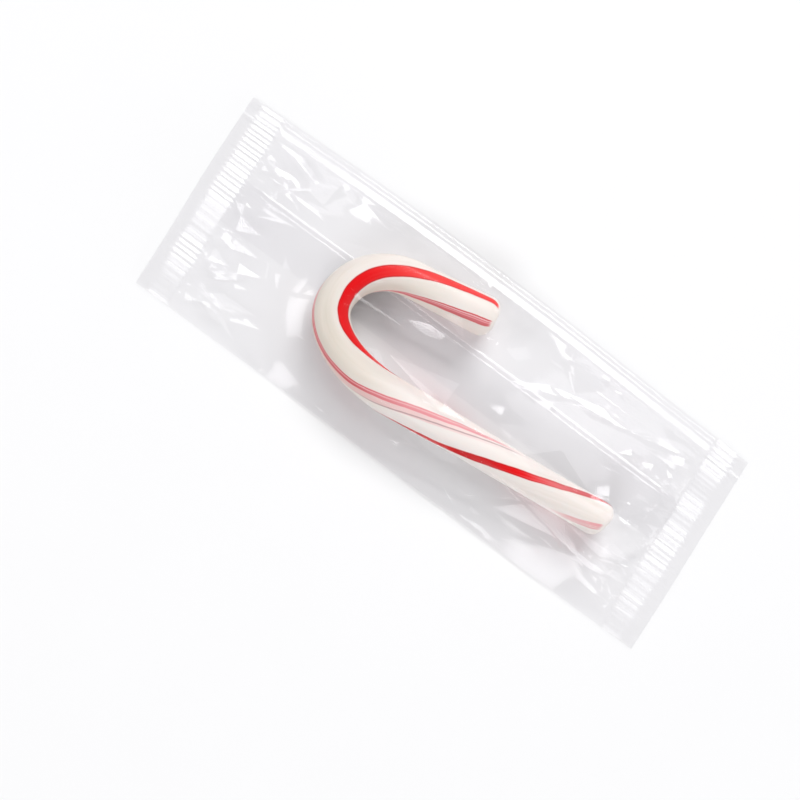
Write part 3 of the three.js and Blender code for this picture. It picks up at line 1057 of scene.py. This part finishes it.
def film_mesh(bag, shape):
    """The bag: both sheets cut along their folds while flat, then raised to their heights."""
    bm = flat_tube(bag)
    top = [f for f in bm.faces if f.normal.z > 0.5 and f.calc_center_median().z > MID_LEVEL]
    for share, _ in PLEAT_PROFILE[:-1]:
        top = cut(bm, top, (0, shape.pleat_in + share * bag.pleat), (1, 0))
    divide_crimps(bm, bag)
    base = [f for f in bm.faces if f.normal.z < -0.5]
    for place, half, _ in SEAM_RIDGES:
        for offset in (place + half, place, place - half):
            base = cut(bm, base, (0, bag.fin_edge + offset * MM), (1, 0))
    for up, creases in ((1, shape.top_creases), (-1, shape.base_creases)):
        cut_creases(bm, creases, [f for f in bm.faces if f.normal.z * up > 0.5])
    bmesh.ops.triangulate(bm, faces=[f for f in bm.faces if len(f.verts) > 4])
    upper = np.array([v.co.z > MID_LEVEL for v in bm.verts])
    flat = np.array([v.co[:2] for v in bm.verts])
    heights = np.where(upper, shape.top(flat), shape.base(flat))
    sealed = eased(np.abs(flat[:, 0]), shape.body - 0.2 * MM, shape.body + 0.2 * MM)
    sealed -= np.where(upper, shape.clings(flat), 0)
    lay(bm, shape, flat, heights, sealed)
    return bm


def fin_mesh(bag, shape):
    """The back seam: a fin of film welded to one sheet, folded flat under the bag."""
    bm = bmesh.new()
    half = (shape.body + FIN_IN_CRIMP, bag.fin / 2)
    flat_sheet(bm, bag, half, y=bag.fin_edge - half[1])
    flat = np.array([v.co[:2] for v in bm.verts])
    heights = np.maximum(shape.base(flat) - FIN_BELOW, FIN_LOWEST)
    lay(bm, shape, flat, heights, np.full(len(flat), -1.0))
    return bm


MIRROR = 0.03  # share of light that film mirrors straight back
CRINKLE = (200, 380, 200)  # how often its fine crinkle changes along, across and up, per metre
CLING_MIRROR = 0.85  # how much less it mirrors where it clings to the cane
HAZE_MIRROR = 0.008  # how much more it mirrors in its haze
SEAL_MIRROR = 0.012  # how much more it mirrors in the crimps


def film_finish(bag):
    """Clear glossy film: light passes with a faint tint, and each sheet mirrors the lamps."""
    finish = Finish("clear_film")
    place = finish.node("ShaderNodeTexCoord").outputs["Object"]
    seal = Value(finish, finish.node("ShaderNodeAttribute", {"attribute_name": "seal"}).outputs["Fac"])
    crinkle = finish.noise(finish.scaled(place, CRINKLE), 1.0, 1)
    haze = finish.noise(place, 90, 3, 0.6)
    normal = finish.bump(crinkle, 0.05, 0.12 * MM)
    slope = finish.node("ShaderNodeLayerWeight", None, {"Blend": 0.5, "Normal": normal})
    weaker = seal.least(0) * CLING_MIRROR + 1
    seal = seal.most(0)
    mirrored = Value(finish, slope.outputs["Facing"]) ** 5 * (1 - MIRROR) + MIRROR
    clear = finish.node("ShaderNodeBsdfTransparent", None, {"Color": opaque(bag.tint)})
    mirror = {
        "Base Color": (0.9, 0.89, 0.91, 1),
        "Roughness": haze * 0.1 + 0.06 + seal * 0.18,
        "Metallic": 1.0,
        "Normal": normal,
    }
    share = (mirrored + haze.ramp(0.45, 0.75) * HAZE_MIRROR) * weaker + seal * SEAL_MIRROR
    parts = {0: share.least(0.9), 1: clear.outputs[0], 2: finish.principled(mirror)}
    return finish.finished(finish.node("ShaderNodeMixShader", None, parts).outputs[0])


# ---- Objects and the stage ----

TABLE_HALF = 1.5
# Each lamp's name, metres from the cane towards the view's right and top, height, width and depth,
# and share of the key's power
LAMPS = (
    ("key", 0.94, 1.62, 1.36, (1.36, 0.54), 1.0),
    ("left", -1.7, 0.2, 1.29, (1.36, 0.48), 0.38),
    ("right", 1.7, -0.2, 1.29, (1.36, 0.48), 0.11),
    ("front", -0.88, -1.63, 1.36, (1.5, 0.48), 0.5),
    ("low", 1.21, -1.19, 0.26, (1.4, 0.44), 0.25),
    ("soft", 0.5, 0.86, 1.5, (1.4, 0.6), 0.2),
)


def as_object(name, bm, material, sharp=None):
    """Links a finished mesh into the scene. Edges that turn by more than sharp stay hard."""
    mesh = bpy.data.meshes.new(name)
    bm.to_mesh(mesh)
    bm.free()
    mesh.materials.append(material)
    mesh.polygons.foreach_set("use_smooth", [True] * len(mesh.polygons))
    if sharp is not None:
        mesh.set_sharp_from_angle(angle=sharp)
    made = bpy.data.objects.new(name, mesh)
    bpy.context.scene.collection.objects.link(made)
    return made


def as_piece(name, bm, material, nodes=(), sharp=None):
    """A piece of the part: it rides on the one body and may stand for CAD nodes."""
    piece = as_object(name, bm, material, sharp)
    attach(piece, "root")
    if nodes:
        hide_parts(*nodes)
    return piece


def table_finish(stage):
    """Pale matt table with the faintest mottle."""
    finish = Finish("pale_table")
    place = finish.node("ShaderNodeTexCoord").outputs["Object"]
    mottle = finish.noise(place, 40, 3, 0.6)
    darker = [0.985 * part for part in stage.floor]
    surface = {
        "Base Color": finish.coated(stage.floor, (mottle, darker)),
        "Roughness": 0.7,
        "Specular IOR Level": 0.2,
    }
    return finish.finished(finish.principled(surface))


def make_floor(stage):
    bm = bmesh.new()
    bmesh.ops.create_grid(bm, x_segments=4, y_segments=4, size=TABLE_HALF)
    floor = as_object("table", bm, table_finish(stage))
    floor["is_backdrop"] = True


def soft_light(name, place, aim, size, power):
    """A soft box that faces its aim."""
    lamp = bpy.data.lights.new(name, "AREA")
    lamp.shape = "RECTANGLE"
    lamp.size, lamp.size_y = size
    lamp.energy = power
    made = bpy.data.objects.new(name, lamp)
    made.location = place
    made.rotation_euler = (Vector(aim) - Vector(place)).to_track_quat("-Z", "Y").to_euler()
    bpy.context.scene.collection.objects.link(made)


def make_lights(stage):
    up = Vector((-math.sin(stage.turn), math.cos(stage.turn), 0))
    right = Vector((math.cos(stage.turn), math.sin(stage.turn), 0))
    middle = Vector((*stage.centre, 0))
    for name, aside, ahead, height, size, share in LAMPS:
        place = middle + aside * right + ahead * up + Vector((0, 0, height))
        soft_light(name, place, middle, size, share * stage.key)
    world = bpy.data.worlds.new("room")
    world.use_nodes = True
    background = world.node_tree.nodes["Background"]
    background.inputs["Color"].default_value = (0.985, 0.985, 1.0, 1)
    background.inputs["Strength"].default_value = stage.fill
    bpy.context.scene.world = world


def make_camera(stage, cane):
    lens = bpy.data.cameras.new("camera")
    lens.sensor_width = 36
    lens.lens = lens.sensor_width * stage.distance / stage.view
    lens.clip_start = 0.01
    camera = bpy.data.objects.new("camera", lens)
    camera.location = (*stage.centre, cane.height + stage.distance)
    camera.rotation_euler = (0, 0, stage.turn)
    bpy.context.scene.collection.objects.link(camera)
    bpy.context.scene.camera = camera


# ---- Operators and the panel ----


class CANDY_OT_cane(bpy.types.Operator):
    """Make the striped sugar cane"""

    bl_idname = "candy.make_cane"
    bl_label = "Make Cane"

    def execute(self, context):
        cane = context.scene.candy_cane
        bm = rope_mesh(cane, Route(cane))
        as_piece("cane_rope", bm, sugar_finish(cane), ["candy_cane"])
        return {"FINISHED"}


class CANDY_OT_bag(bpy.types.Operator):
    """Make the clear film bag and its back seam"""

    bl_idname = "candy.make_bag"
    bl_label = "Make Bag"

    def execute(self, context):
        bag, cane = context.scene.candy_bag, context.scene.candy_cane
        shape = Bag(bag, cane, Route(cane))
        film = film_finish(bag)
        as_piece("bag_film", film_mesh(bag, shape), film, ["wrapper"], SHARP)
        as_piece("back_seam", fin_mesh(bag, shape), film, [], SHARP)
        return {"FINISHED"}


class CANDY_OT_stage(bpy.types.Operator):
    """Make the table, the lights and the camera"""

    bl_idname = "candy.make_stage"
    bl_label = "Make Stage"

    def execute(self, context):
        stage = context.scene.candy_stage
        make_floor(stage)
        make_lights(stage)
        make_camera(stage, context.scene.candy_cane)
        context.scene.view_settings.view_transform = "Standard"
        return {"FINISHED"}


class CANDY_PT_panel(bpy.types.Panel):
    """Buttons and settings of the wrapped candy cane"""

    bl_label = "Wrapped Candy Cane"
    bl_idname = "CANDY_PT_panel"
    bl_space_type = "VIEW_3D"
    bl_region_type = "UI"
    bl_category = "Candy Cane"

    def draw(self, context):
        scene = context.scene
        for group, operator in (
            (scene.candy_cane, CANDY_OT_cane),
            (scene.candy_bag, CANDY_OT_bag),
            (scene.candy_stage, CANDY_OT_stage),
        ):
            column = self.layout.column(align=True)
            for name in group.bl_rna.properties.keys():
                if name not in ("rna_type", "name"):
                    column.prop(group, name)
            column.operator(operator.bl_idname)


SETTINGS = {"candy_cane": CaneSettings, "candy_bag": BagSettings, "candy_stage": StageSettings}
CLASSES = (*SETTINGS.values(), CANDY_OT_cane, CANDY_OT_bag, CANDY_OT_stage, CANDY_PT_panel)


def register():
    for made in CLASSES:
        bpy.utils.register_class(made)
    for name, group in SETTINGS.items():
        setattr(bpy.types.Scene, name, PointerProperty(type=group))


def unregister():
    for name in SETTINGS:
        delattr(bpy.types.Scene, name)
    for made in reversed(CLASSES):
        bpy.utils.unregister_class(made)


def main():
    register()
    bpy.ops.candy.make_cane()
    bpy.ops.candy.make_bag()
    bpy.ops.candy.make_stage()
    boxes = {"cad": cad_box, "visual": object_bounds()}
    {name: [list(corner) for corner in box] for name, box in boxes.items()}


if __name__ == "__main__":
    main()
